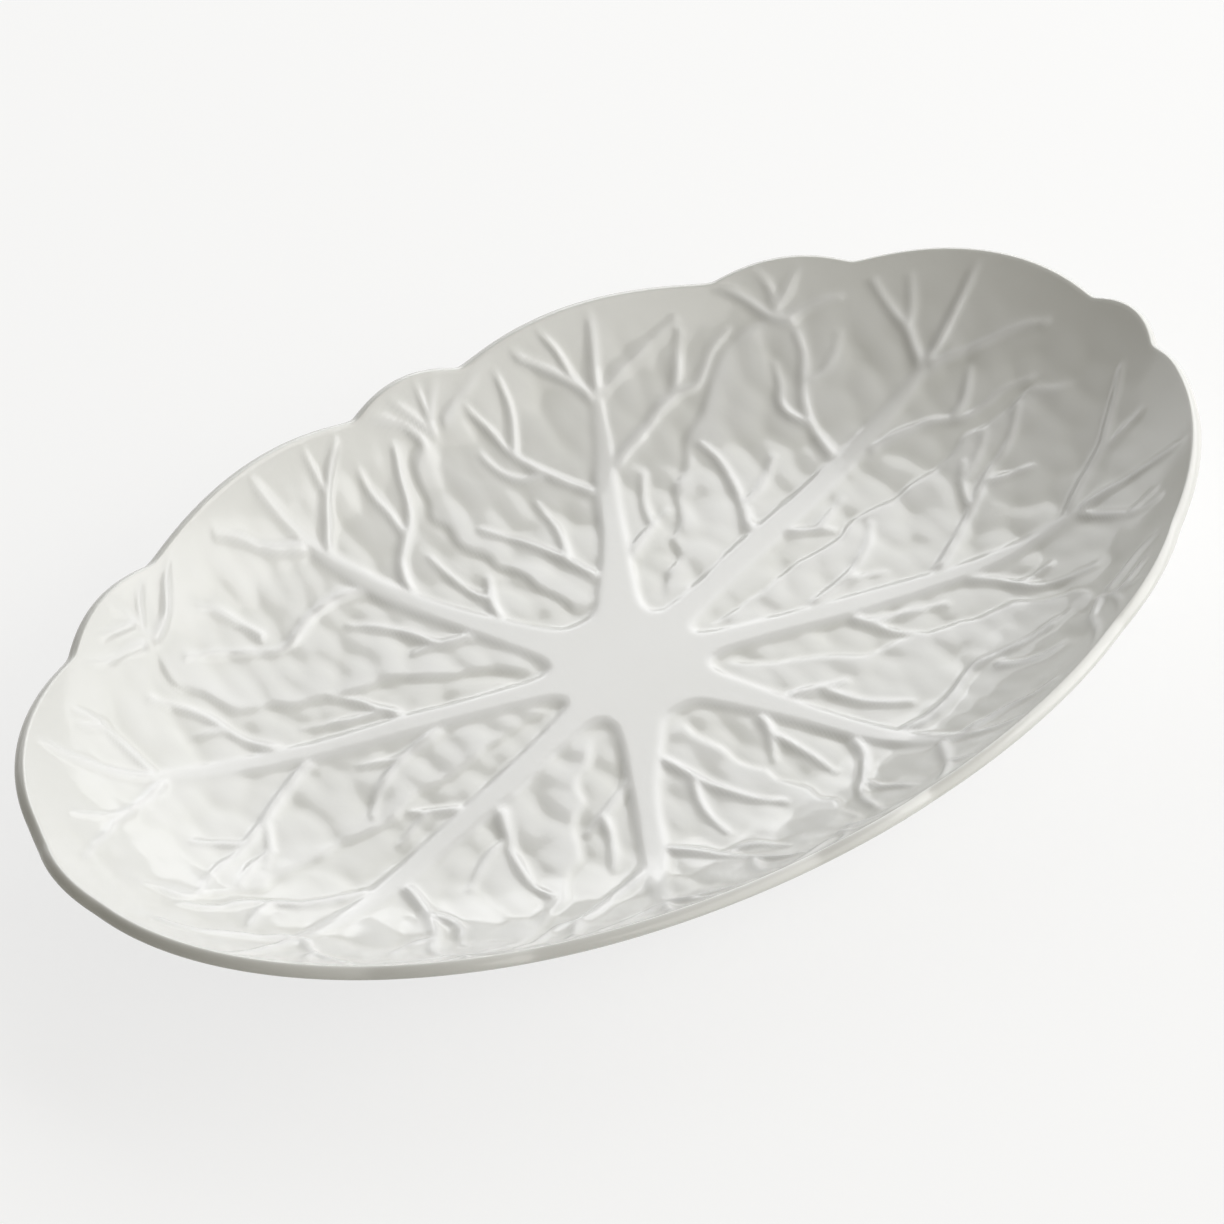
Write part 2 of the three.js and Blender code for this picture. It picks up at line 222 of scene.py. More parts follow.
@dataclass(frozen=True)
class Line:
    """A line on the leaf, through points in plan. A third number at a point is the line's half width there.

    Attributes:
        trace: The points, from the line's root to its tip.
        root: Half width at the root, where the points give none.
        tip: Half width at the tip.
        height: How far the line stands up at its root.
    """

    trace: Trace
    root: float = 1.9
    tip: float = 1.0
    height: float = 1.5

    def turned(self) -> Line:
        """Gives the same line after a half turn of the platter."""
        trace = tuple((-point[0], -point[1], *point[2:]) for point in self.trace)
        return Line(trace, self.root, self.tip, self.height)

    def path(self) -> Array:
        """Samples a smooth curve through the points.

        Returns:
            Rows of x, y and half width, about PATH_STEP apart.
        """
        knots = np.array([point[:2] for point in self.trace])
        if len(self.trace[0]) > 2:
            widths = np.array([point[2] for point in self.trace])
        else:
            widths = np.linspace(self.root, self.tip, len(knots))
        rows = np.column_stack([knots, widths])
        padded = np.vstack([2 * rows[0] - rows[1], rows, 2 * rows[-1] - rows[-2]])
        samples = []
        for before, start, end, after in zip(padded, padded[1:], padded[2:], padded[3:]):
            count = max(2, int(np.hypot(*(end - start)[:2]) / PATH_STEP))
            for share in np.arange(count) / count:
                bend = 2 * start + (end - before) * share
                bend = bend + (2 * before - 5 * start + 4 * end - after) * share**2
                bend = bend + (3 * start - before - 3 * end + after) * share**3
                samples.append(bend / 2)
        samples.append(rows[-1])
        return np.array(samples)

    def near(self, x: Array, y: Array, reach: float) -> Near:
        """Measures the places that lie near the line.

        Args:
            x: Places in plan.
            y: Places in plan.
            reach: How far from the line a place still counts.

        Returns:
            Which places count, with their distances and where along the line they lie.
        """
        path = self.path()
        low = path[:, :2].min(axis=0) - reach
        high = path[:, :2].max(axis=0) + reach
        pick = np.flatnonzero((x > low[0]) & (x < high[0]) & (y > low[1]) & (y < high[1]))
        best = np.full(len(pick), np.inf)
        side = np.zeros(len(pick))
        along = np.zeros(len(pick))
        half = np.zeros(len(pick))
        for step, (start, end) in enumerate(zip(path, path[1:])):
            run = end[:2] - start[:2]
            off_x = x[pick] - start[0]
            off_y = y[pick] - start[1]
            share = np.clip((off_x * run[0] + off_y * run[1]) / max(run @ run, TINY), 0.0, 1.0)
            distance = np.hypot(off_x - share * run[0], off_y - share * run[1])
            closer = distance < best
            best = np.where(closer, distance, best)
            side = np.where(closer, np.sign(run[1] * off_x - run[0] * off_y), side)
            along = np.where(closer, (step + share) / (len(path) - 1), along)
            half = np.where(closer, start[2] + share * (end[2] - start[2]), half)
        return Near(pick, best, side, along, half)


@dataclass(frozen=True)
class Near:
    """Places near a line.

    Attributes:
        pick: Their indices.
        distance: How far each is from it.
        side: 1 on the right of the line as it runs out, and -1 on its left.
        along: Share of the line's length, from its root.
        half: The line's half width beside each.
    """

    pick: Array
    distance: Array
    side: Array
    along: Array
    half: Array


# Lines of half of the leaf, of which the other half is a half-turn copy

# Main ribs, from the boss to the fork near the rim
RIBS = (
    Line((
        (10, 16, 9), (15.5, 26.5, 7.2), (30.5, 48, 4.6), (42.7, 69, 4.1), (51, 81, 3.3), (60, 97.5, 2.0),
    )),
    Line((
        (15, 5, 7), (27, 8.5, 5.3), (45, 13.6, 4.5), (66, 19.7, 4.8), (100, 28.3, 4.1), (113, 32, 3.9),
        (140, 38.5, 2.7), (158, 42.8, 1.8),
    )),
    Line((
        (-10, 16, 9), (-16.5, 25.5, 7.2), (-31, 50, 4.8), (-43.5, 73, 4.2), (-50.5, 86, 3.4), (-57, 97, 2.2),
        (-66, 116, 1.2),
    )),
    Line((
        (-15, 5, 7), (-27, 7.8, 5.3), (-50, 14.5, 4.5), (-70, 20.5, 4.7), (-100, 28.5, 4.1),
        (-113, 32.5, 3.9), (-130, 36.8, 3.2), (-153, 41, 2.2),
    )),
)
# Side veins
VEINS = (
    # Beside the short rib on the right
    Line(((17, 38), (13.5, 50), (10, 60), (5, 69.5), (-2, 78.5))),
    Line(((13.8, 52), (17.5, 59), (19.8, 67), (20.3, 78)), 1.6, 0.9, 1.3),
    Line(((39.5, 71), (35, 77.5), (30, 85), (26, 91.5), (23, 97.5), (21, 105), (17.5, 112.5))),
    Line(((27.5, 86), (21.5, 87.5), (17, 92), (14, 99.5)), 1.6, 0.9, 1.3),
    Line(((24.5, 96.5), (28.5, 102.5), (31.5, 109), (32, 115.5)), 1.6, 0.9, 1.2),
    Line(((59, 98), (56, 103.5), (51, 109), (41, 117.5)), 1.8),
    Line(((58.5, 100), (56, 106), (55, 113), (52, 119)), 1.5, 0.9, 1.2),
    Line(((60, 98), (64.5, 105), (71, 115.5)), 2.0, 1.2),
    Line((
        (50.5, 75.5), (56, 78), (63, 80), (71, 82.5), (78, 85), (86, 85.5), (92, 84.5), (97, 86.5), (103, 90),
        (111, 91.2),
    )),
    Line(((83, 85.5), (88, 90), (92, 94.5), (96.5, 99)), 1.6, 0.9, 1.3),
    Line(((64, 98.5), (70, 100), (80, 101), (97, 102)), 1.4, 0.9, 0.8),
    Line(((31.5, 41), (38, 44), (45, 47), (54.5, 50.5))),
    Line(((46.5, 48), (49.5, 56), (53, 62), (58, 68.5)), 1.7, 1.0, 1.4),
    # Beside the long rib on the right
    Line(((71, 27), (76, 38), (80, 49), (82, 59), (81, 67)), 2.1),
    Line(((76.5, 37.5), (84, 39.5), (91, 43.5), (98, 49)), 1.6, 0.9, 1.3),
    Line((
        (113.5, 36), (114.5, 44), (116, 51), (119, 59), (123.5, 65.5), (128.5, 71.5), (130.5, 78),
    ), 2.1),
    Line(((116, 52), (112.5, 58.5), (112.8, 64), (116.5, 69), (119, 75)), 1.7, 0.9, 1.4),
    Line(((124, 64.5), (131, 63.7), (138, 66), (142, 69.5)), 1.2, 0.8, 0.8),
    Line(((80, 18.5), (87, 14), (93, 10)), 1.8, 1.0),
    Line(((89.5, 13.2), (96, 16), (104, 19.5)), 1.5, 0.9, 1.2),
    Line((
        (126, 31), (134, 29.7), (141, 28), (147, 26), (152, 22.5), (157, 19), (164, 17.5), (172, 17),
        (180, 13),
    )),
    Line(((154, 21.5), (160, 24), (165, 28), (168.5, 31.5)), 1.6, 0.9, 1.3),
    Line(((157.5, 44), (159.5, 51), (160.8, 55.5), (160, 63), (159.5, 73)), 1.7),
    Line(((161, 56), (166, 60), (170, 66)), 1.4, 0.9, 1.1),
    Line(((159, 43), (168, 46), (178, 49.5), (188, 53)), 1.6),
    Line(((159, 42.3), (168, 38.5), (176, 34.5), (184, 31), (190, 27), (194, 22.5)), 1.7),
    # Beside the short rib on the left
    Line(((-20.5, 43), (-18, 50.5), (-15, 55.5), (-12, 60.5))),
    Line(((-18, 51), (-20.3, 58.5), (-22, 67), (-23, 78)), 1.6, 0.9, 1.3),
    Line((
        (-37, 70), (-35.5, 75), (-32.5, 81), (-27, 87), (-21.5, 92), (-18, 98), (-16, 104.5), (-12.8, 111.5),
    )),
    Line(((-25.5, 89), (-26, 97), (-28, 103), (-28.3, 109.5)), 1.6, 0.9, 1.2),
    Line(((-52.5, 94.5), (-48, 101), (-43, 108), (-38, 113.5), (-31, 119)), 1.8),
    Line(((-43, 108.5), (-43.3, 114), (-44, 119)), 1.4, 0.9, 1.1),
    Line(((-59.5, 97.5), (-66, 98.8), (-73, 100.8), (-79.5, 105), (-87, 107)), 1.8),
    Line(((-32, 42), (-39, 43.5), (-46, 45.8), (-52, 47.2))),
    Line(((-43.5, 46), (-47, 53), (-52, 60), (-57.5, 65), (-62, 68.5)), 1.7, 1.0, 1.4),
    Line((
        (-50.5, 78), (-57, 79.3), (-65, 78.5), (-72, 76.5), (-79, 73), (-86, 70.3), (-93, 71.5), (-101, 74.3),
        (-110, 76.5), (-119, 77.5),
    )),
    Line(((-91, 77), (-95, 83), (-100, 88), (-105, 90)), 1.6, 0.9, 1.3),
    # Beside the long rib on the left
    Line(((-72, 27.5), (-75.5, 33.5), (-79, 40), (-85, 46)), 2.0),
    Line(((-75, 31), (-84, 34), (-94, 37.5), (-100, 40)), 1.5, 0.9, 1.2),
    Line((
        (-112, 35.5), (-117, 41.5), (-120.5, 48), (-123.5, 54.5), (-128, 60), (-133, 63.5), (-139, 67.5),
    ), 2.1),
    Line(((-122, 50), (-127, 51.5), (-134, 51.8)), 1.4, 0.9, 1.1),
    Line(((-154, 43), (-157, 51.5), (-159.3, 58), (-160.5, 62)), 1.7),
    Line(((-160, 60), (-164.5, 60.5), (-168.5, 61)), 1.3, 0.8, 1.0),
    Line(((-160.3, 61), (-163, 63.5), (-167, 65.5)), 1.3, 0.8, 1.0),
    Line(((-152, 41), (-160, 42.5), (-168, 45.5), (-177, 50), (-186, 55.5)), 1.9),
    Line((
        (-151, 40), (-161, 34.5), (-169, 31), (-177, 27.5), (-184, 22), (-191, 17), (-198, 11),
    ), 1.8),
    Line(((-173, 29.5), (-182, 29.3), (-190, 30)), 1.2, 0.8, 0.9),
    Line(((-66, 14), (-74, 12.2), (-82, 10.5), (-90, 7), (-98, 2), (-104, -4.5))),
    Line(((-80.5, 11), (-87, 13), (-94, 15.8)), 1.5, 0.9, 1.2),
    Line((
        (-107, 27), (-116, 22.5), (-126, 17), (-134, 12), (-141, 8), (-149, 3.5), (-157, 1), (-164, -3),
        (-171, -9),
    ), 2.1),
    Line(((-133.5, 12), (-136, 6), (-140, -0.5), (-145, -5.5)), 1.6, 0.9, 1.3),
    Line(((-145, 6.5), (-152, 10), (-159, 13.5)), 1.5, 0.9, 1.2),
    Line(((-139, 0), (-147, -2.5), (-153, -6), (-157.5, -9.5)), 1.4, 0.9, 1.1),
    # Fans in the narrow lobes of the rim
    Line(((-2.5, 111.5), (-6, 116), (-11, 118.5), (-18, 120.5), (-26, 122.5)), 1.5, 0.9, 1.2),
    Line(((1, 113.5), (-3.5, 118.5), (-9, 123.5)), 1.3, 0.8, 1.0),
    Line(((2.5, 112), (3.5, 118), (4, 124.5)), 1.4, 0.8, 1.0),
    Line(((4, 115), (8, 119.5), (14, 123)), 1.3, 0.8, 1.0),
    Line(((8, 113), (20, 117), (27, 119.5), (36, 122)), 1.3, 0.8, 1.0),
    Line(((131, 82), (125.5, 86.5), (121.5, 93), (117, 99), (111, 104.5)), 1.6, 0.9, 1.2),
    Line(((127, 86), (129.5, 91.5), (127.5, 98.5)), 1.3, 0.8, 1.0),
    Line(((127, 86), (133.5, 88.5), (143, 91.5)), 1.3, 0.8, 1.0),
    Line(((131, 83), (141, 80.5), (148, 77)), 1.4, 0.8, 1.0),
    Line(((-126, 84), (-119, 89), (-115, 94), (-110, 101), (-103, 107)), 1.6, 0.9, 1.2),
    Line(((-126, 84), (-129.5, 89), (-135, 94)), 1.3, 0.8, 1.0),
    Line(((-130, 89), (-137, 87.5), (-144, 86)), 1.3, 0.8, 1.0),
    Line(((-128, 88), (-125, 94), (-121, 99.5)), 1.2, 0.8, 0.9),
    Line(((-131, 83), (-137, 82), (-146, 79.5), (-154, 79.5)), 1.4, 0.8, 1.0),
)
# Wavy edges of the leaves, each over what is on the left of its line
OVERLAPS = (
    Line((
        (27, 17), (33, 23.5), (37, 27.5), (42, 29.3), (45.5, 33.5), (47.3, 39), (53, 42.5), (57, 47.5),
        (60.5, 54.5), (63.5, 58.5), (69, 61), (74, 66.5), (78.5, 72), (86, 75), (92, 79), (98, 83.5),
        (104, 87), (113, 88.8), (121, 87.5), (126, 84.5),
    )),
    Line((
        (0.5, 29), (1.3, 35), (0, 41), (-2, 47), (-2.2, 53), (-4.2, 59), (-7, 62.5), (-7, 68), (-10, 73),
        (-12, 78), (-11, 85), (-14, 90), (-11, 95.5), (-10.8, 101.5), (-9, 107), (-4, 110), (1, 112),
    )),
    Line((
        (-25.5, 16.5), (-32, 21.5), (-38, 26.5), (-44, 29), (-51, 32.5), (-58, 37), (-63, 41), (-70, 42.5),
        (-78, 43.5), (-84, 46), (-92, 48), (-98, 49.5), (-103, 52.5), (-110, 54.3), (-115.5, 56), (-119, 61),
        (-121.5, 65), (-127, 68.5), (-129, 73), (-128, 78.5), (-126, 84),
    )),
    Line((
        (30, 0), (40, -0.5), (50, 1.2), (58, 1.5), (66, 3.8), (74, 5), (86, 5), (93, 6.5), (100, 9.8),
        (110, 9.5), (118, 9), (126, 10.3), (137, 10.3), (147, 11.5), (152, 14), (160, 11.5), (170, 10.5),
        (178, 10.5), (183, 4.5), (190, -1.5),
    )),
)


@dataclass(frozen=True)
class Leaf:
    """The leaf relief: boss, ribs, side veins, overlapping edges and blistered blade.

    A reach is how far from a line places still count as beside it.

    Attributes:
        boss_radius: The round boss in the middle.
        web: Rounding of the corners between boss and ribs.
        rib_height: Height of boss and ribs.
        rib_edge: Half width of the slope along a rib.
        rib_sink: Share of a rib's height lost on the way out.
        rib_sink_from: Share of its length where that begins.
        rib_clear: How soon the blade ends beside a rib.
        vein_height: Share of a vein's height kept under the glaze.
        vein_width: Least half width of a vein there.
        vein_taper: Share of its height lost on the way out.
        vein_on_rib: Share of its height kept on a rib.
        edge_step: Step where one leaf laps over the next.
        edge_half: Half width of its slope.
        edge_parts: Shares of the step above and below the blade.
        edge_fades: Lengths over which they level out.
        edge_ends: Share of the edge where it grows, and where it ends.
        blister: Height of the blisters, about.
        blister_length: Their spacing along the platter.
        blister_width: Their spacing across it.
        blister_margin: Share of its cell, on each side, that a middle keeps out of.
        blister_sharpness: How sharply one blister ends at the next.
        blister_gain: Depth of the grooves between them.
        blister_lift: How far they stand over the blade.
        blade_floor: Lowest that the blade goes.
        blister_end: Share of the way to the rim where the blisters begin to fade.
        relief_end: The same for the whole relief.
    """

    boss_radius: float = 24.6
    web: float = 2.2
    rib_height: float = 1.25
    rib_edge: float = 1.5
    rib_reach: float = 16.0
    rib_sink: float = 0.4
    rib_sink_from: float = 0.45
    rib_clear: float = 1.6
    vein_height: float = 0.97
    vein_width: float = 1.1
    vein_reach: float = 6.0
    vein_taper: float = 0.45
    vein_on_rib: float = 0.4
    edge_step: float = 1.15
    edge_half: float = 1.1
    edge_reach: float = 26.0
    edge_parts: Pair = (0.65, 0.35)
    edge_fades: Pair = (10.0, 6.0)
    edge_ends: float = 0.06
    blister: float = 0.47
    blister_length: float = 8.5
    blister_width: float = 12.0
    blister_margin: float = 0.1
    blister_sharpness: float = 5.0
    blister_gain: float = 2.8
    blister_lift: float = 0.3
    blade_floor: float = -0.7
    blister_end: float = 0.86
    relief_end: float = 0.96

    def crests(self, x: Array, y: Array) -> Array:
        """Raises the boss and the ribs.

        Args:
            x: Places in plan.
            y: Places in plan.

        Returns:
            Their height at each place.
        """
        gap = np.hypot(x, y) - self.boss_radius
        webs = np.exp(-gap / self.web)
        kept = np.ones_like(x)
        for rib in both_halves(RIBS):
            near = rib.near(x, y, self.rib_reach)
            aside = near.distance - near.half
            webs[near.pick] += np.exp(-aside / self.web)
            closer = aside < gap[near.pick]
            beside = near.pick[closer]
            gap[beside] = aside[closer]
            kept[beside] = 1.0 - self.rib_sink * ease(self.rib_sink_from, 1.0, near.along[closer])
        outside = -self.web * np.log(webs + LEAST_WEB)
        return self.rib_height * kept * (1.0 - ease(-self.rib_edge, self.rib_edge, outside))

    def side_veins(self, x: Array, y: Array) -> Array:
        """Raises the side veins, and the small fans of veins in the narrow lobes.

        Args:
            x: Places in plan.
            y: Places in plan.

        Returns:
            Their height at each place.
        """
        crest = np.zeros_like(x)
        for vein in both_halves(VEINS):
            near = vein.near(x, y, self.vein_reach)
            fall = np.exp(-((near.distance / np.maximum(near.half, self.vein_width)) ** 2))
            height = self.vein_height * vein.height * (1.0 - self.vein_taper * near.along**2)
            crest[near.pick] = np.maximum(crest[near.pick], height * fall)
        return crest

    def leaf_edges(self, x: Array, y: Array) -> Array:
        """Steps the blade up along the wavy edges where one leaf laps over the next.

        Args:
            x: Places in plan.
            y: Places in plan.

        Returns:
            The blade's height from these steps.
        """
        step = np.zeros_like(x)
        raised, sunk = self.edge_parts
        fade_above, fade_below = self.edge_fades
        for edge in both_halves(OVERLAPS):
            near = edge.near(x, y, self.edge_reach)
            signed = near.side * near.distance
            above = np.exp(-np.maximum(signed, 0.0) / fade_above)
            below = np.exp(-np.maximum(-signed, 0.0) / fade_below)
            ramp = ease(-self.edge_half, self.edge_half, signed)
            ends = ease(0.0, self.edge_ends, near.along)
            ends = ends * (1.0 - ease(1.0 - self.edge_ends, 1.0, near.along))
            step[near.pick] += self.edge_step * ends * (raised * ramp * above - sunk * (1.0 - ramp) * below)
        return step

    def blisters(self, x: Array, y: Array) -> Array:
        """Swells the blade into soft blisters, one in each cell of an uneven grid.

        Args:
            x: Places in plan.
            y: Places in plan.

        Returns:
            The blade's height from the blisters.
        """
        cell_x = x / self.blister_length
        cell_y = y / self.blister_width
        column = np.floor(cell_x)
        row = np.floor(cell_y)
        total = np.zeros_like(x)
        free = 1.0 - 2 * self.blister_margin
        for step_x in (-1, 0, 1):
            for step_y in (-1, 0, 1):
                seed_x = column + step_x
                seed_y = row + step_y
                away_x = cell_x - seed_x - self.blister_margin - free * scatter(seed_x, seed_y, SCATTER_X)
                away_y = cell_y - seed_y - self.blister_margin - free * scatter(seed_x, seed_y, SCATTER_Y)
                total += np.exp(-self.blister_sharpness * (away_x**2 + away_y**2))
        groove = np.log(total + LEAST_BLISTER) / self.blister_sharpness
        return self.blister * (groove * self.blister_gain + self.blister_lift)

    def relief(self, x: Array, y: Array, share: Array) -> Array:
        """Adds the leaf up.

        Args:
            x: Places in plan.
            y: Places in plan.
            share: Share of the way from the middle to the rim.

        Returns:
            The height of the leaf over the plain dish.
        """
        crest = self.crests(x, y)
        veins = self.side_veins(x, y)
        bare = 1.0 - np.clip(crest / self.rib_height * self.rib_clear, 0.0, 1.0)
        blade = self.leaf_edges(x, y) + self.blisters(x, y) * (1.0 - ease(self.blister_end, 1.0, share))
        raised = np.maximum(crest, veins * (self.vein_on_rib + (1.0 - self.vein_on_rib) * bare))
        fade = 1.0 - ease(self.relief_end, 1.0, share)
        return (raised + np.maximum(blade, self.blade_floor) * bare) * fade


def both_halves(lines: Iterable[Line]) -> list[Line]:
    """Lists lines of half a leaf together with their half-turn copies."""
    return [each for line in lines for each in (line, line.turned())]


def added(name: str, data: bpy.types.ID) -> bpy.types.Object:
    """Adds an object to the scene."""
    made = bpy.data.objects.new(name, data)
    bpy.context.scene.collection.objects.link(made)
    return made


class Slot(Enum):
    """The material slots of the part's record."""

    CLAY = "bare_clay"
    GLAZE = "white_glaze"


class Wire:
    """A node's output, which takes part in sums on values."""

    def __init__(self, paint: Paint, made: bpy.types.Node, output: str | int) -> None:
        """Keeps the node, its output and its paint."""
        self.paint = paint
        self.made = made
        self.output = output

    @property
    def socket(self) -> bpy.types.NodeSocket:
        """The output's socket."""
        return self.made.outputs[self.output]

    def _sum(self, operation: str, first: Wire | float, second: Wire | float) -> Wire:
        """Adds a Math node for one operation on two values."""
        return self.paint.node("ShaderNodeMath", {"operation": operation}, {0: first, 1: second})

    def __add__(self, other: Wire | float) -> Wire:
        """Adds."""
        return self._sum("ADD", self, other)

    def __rsub__(self, other: float) -> Wire:
        """Takes away from a number."""
        return self._sum("SUBTRACT", other, self)

    def __mul__(self, other: Wire | float) -> Wire:
        """Multiplies."""
        return self._sum("MULTIPLY", self, other)


class Paint:
    """The nodes of a material or a world under construction."""

    def __init__(self, owner: bpy.types.Material | bpy.types.World) -> None:
        """Empties the nodes of what is to be painted."""
        owner.use_nodes = True
        self.owner = owner
        self.tree = owner.node_tree
        self.tree.nodes.clear()

    def node(
        self, kind: str, settings: Values | None = None, inputs: Values | None = None, output: str | int = 0
    ) -> Wire:
        """Adds a node.

        Args:
            kind: The node's type.
            settings: Its properties, which are set first.
            inputs: Values or wires for its sockets, by name or place.
            output: The socket to take.

        Returns:
            That output as a wire.
        """
        made = self.tree.nodes.new(kind)
        for key, value in (settings or {}).items():
            setattr(made, key, value)
        for key, value in (inputs or {}).items():
            if isinstance(value, Wire):
                self.tree.links.new(value.socket, made.inputs[key])
            else:
                made.inputs[key].default_value = value
        return Wire(self, made, output)

    def bump(self, strength: float, depth: float, height: Wire) -> Wire:
        """Adds a bump of a strength and a depth in metres."""
        return self.node("ShaderNodeBump", None, {"Strength": strength, "Distance": depth, "Height": height})

    def noise(self, scale: float, detail: float) -> Wire:
        """Adds a noise over the piece's own coordinates, in cycles per metre."""
        place = self.node("ShaderNodeTexCoord", output="Object")
        return self.node("ShaderNodeTexNoise", None, {"Vector": place, "Scale": scale, "Detail": detail})

    def span(self, value: Wire, low: float, high: float) -> Wire:
        """Stretches the part of a value from low to high over 0 to 1, and clamps the rest."""
        return self.node("ShaderNodeMapRange", None, {"Value": value, "From Min": low, "From Max": high})

    def blend(self, share: Wire, first: tuple[float, ...], second: tuple[float, ...]) -> Wire:
        """Mixes two colours."""
        colours = {0: share, 6: (*first, 1.0), 7: (*second, 1.0)}
        return self.node("ShaderNodeMix", {"data_type": "RGBA"}, colours, 2)

    def seen(self) -> Wire:
        """Gives 1 to rays that see, straight, mirrored or through glass, and 0 to those that light."""
        kinds = ("Is Camera Ray", "Is Glossy Ray", "Is Transmission Ray")
        straight, mirrored, through = (self.node("ShaderNodeLightPath", output=kind) for kind in kinds)
        return straight + mirrored + through

    def finish(self, inputs: Values) -> bpy.types.Material:
        """Ends the material in a Principled surface.

        Args:
            inputs: Values or wires for the shader.

        Returns:
            The material.
        """
        surface = self.node("ShaderNodeBsdfPrincipled", None, inputs)
        self.node("ShaderNodeOutputMaterial", None, {"Surface": surface})
        return self.owner


@dataclass(frozen=True)
class WhiteGlaze:
    """Ivory-white gloss glaze, darker in random clouds and darkened by painted shade in its hollows.

    A noise is given by its cycles per metre and its detail, and the shaded hollows by their relief in
    millimetres.
    """

    body: Colour = (0.822, 0.828, 0.834)
    # Darker colour of the glaze, for painted shade in hollows and for random clouds
    shaded_and_clouded: Colour = (0.74, 0.745, 0.72)
    roughness: float = 0.13
    roughness_spread: float = 0.08
    ior: float = 1.5
    # Painted shade where the relief is low: the relief span it fades over, and its share of the darkening
    shaded_hollows: Pair = (-0.4, 0.9)
    shade_share: float = 0.75
    cloud_share: float = 0.5
    # Span of painted shade and clouds together, from the plain colour to the darker one
    shade_and_cloud_span: Pair = (0.2, 1.2)
    cloud: Pair = (22.0, 3.0)
    ripple: Pair = (120.0, 2.0)
    pits: Pair = (900.0, 1.0)
    pit_share: float = 0.12
    bump: Pair = (0.12, 0.0006)

    def material(self) -> bpy.types.Material:
        """Makes the glaze, darkened by painted shade where the piece's relief attribute is low, and in random
        clouds.

        Returns:
            The material.
        """
        paint = Paint(bpy.data.materials.new(Slot.GLAZE.value))
        relief = paint.node("ShaderNodeAttribute", {"attribute_name": "relief"}, output="Fac")
        cloud = paint.noise(*self.cloud)
        # Painted shade in the hollows, mixed with random clouds of darker tone
        painted_shade = 1.0 - paint.span(relief, *self.shaded_hollows)
        shade_and_cloud = paint.span(painted_shade * self.shade_share + cloud * self.cloud_share, *self.shade_and_cloud_span)
        ripple = paint.noise(*self.ripple)
        pits = paint.noise(*self.pits)
        bump = paint.bump(*self.bump, ripple + pits * self.pit_share)
        least = self.roughness - self.roughness_spread / 2
        return paint.finish(
            {
                "Base Color": paint.blend(shade_and_cloud, self.body, self.shaded_and_clouded),
                "Roughness": paint.span(cloud, 0.0, 1.0) * self.roughness_spread + least,
                "Normal": bump,
                "IOR": self.ior,
            }
        )


@dataclass(frozen=True)
class BareClay:
    """Fired cream earthenware, dry and grainy, and darker where it is rubbed."""

    body: Colour = (0.62, 0.53, 0.41)
    rubbed: Colour = (0.5, 0.41, 0.3)
    grain: Pair = (700.0, 4.0)
    cloud: Pair = (45.0, 3.0)
    cloud_share: float = 0.7
    grain_share: float = 0.5
    wear_span: Pair = (0.35, 0.9)
    least_roughness: float = 0.75
    roughness_spread: float = 0.15
    bump: Pair = (0.35, 0.0004)

    def material(self) -> bpy.types.Material:
        """Makes the clay.

        Returns:
            The material.
        """
        paint = Paint(bpy.data.materials.new(Slot.CLAY.value))
        grain = paint.noise(*self.grain)
        cloud = paint.noise(*self.cloud)
        wear = paint.span(cloud * self.cloud_share + grain * self.grain_share, *self.wear_span)
        bump = paint.bump(*self.bump, grain)
        return paint.finish(
            {
                "Base Color": paint.blend(wear, self.body, self.rubbed),
                "Roughness": grain * self.roughness_spread + self.least_roughness,
                "Normal": bump,
            }
        )


@dataclass
class Workshop:
    """Turns bmesh shapes into dressed pieces of the part.

    Attributes:
        finishes: The material of each slot.
        pieces: The pieces made so far.
    """

    finishes: dict[Slot, bpy.types.Material]
    pieces: list[bpy.types.Object] = field(default_factory=list)

    def dress(self, shape: bmesh.types.BMesh, node: str, slot: Slot, mould: Mould) -> bpy.types.Object:
        """Moulds a shape and puts it in the place of a solid of the part.

        Args:
            shape: The shape in the mould's own coordinates. It is freed.
            node: The solid that the piece stands for.
            slot: The record's material slot.
            mould: Takes the shape's points to millimetres, and gives the relief at each.

        Returns:
            The piece.
        """
        bmesh.ops.recalc_face_normals(shape, faces=shape.faces)
        mesh = bpy.data.meshes.new(f"{node}_piece")
        shape.to_mesh(mesh)
        shape.free()
        points = np.zeros(3 * len(mesh.vertices))
        mesh.vertices.foreach_get("co", points)
        placed, relief = mould(points.reshape(-1, 3))
        mesh.vertices.foreach_set("co", (placed * METRE).ravel())
        mesh.attributes.new("relief", "FLOAT", "POINT").data.foreach_set("value", relief)
        mesh.polygons.foreach_set("use_smooth", [True] * len(mesh.polygons))
        mesh.update()
        piece = added(f"{node}_piece", mesh)
        piece.data.materials.append(self.finishes[slot])
        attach(piece, "root")
        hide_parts(node)
        self.pieces.append(piece)
        return piece


def grow_border(shape: bmesh.types.BMesh, depth: float, scale: float = 1.0) -> None:
    """Extrudes a shape's border to a new ring.

    Args:
        shape: The shape, in the mould's coordinates.
        depth: The new ring's height there.
        scale: How far it is drawn in towards the middle.
    """
    border = [edge for edge in shape.edges if edge.is_boundary]
    grown = bmesh.ops.extrude_edge_only(shape, edges=border)["geom"]
    for vert in grown:
        if isinstance(vert, bmesh.types.BMVert):
            vert.co = (vert.co.x * scale, vert.co.y * scale, depth)


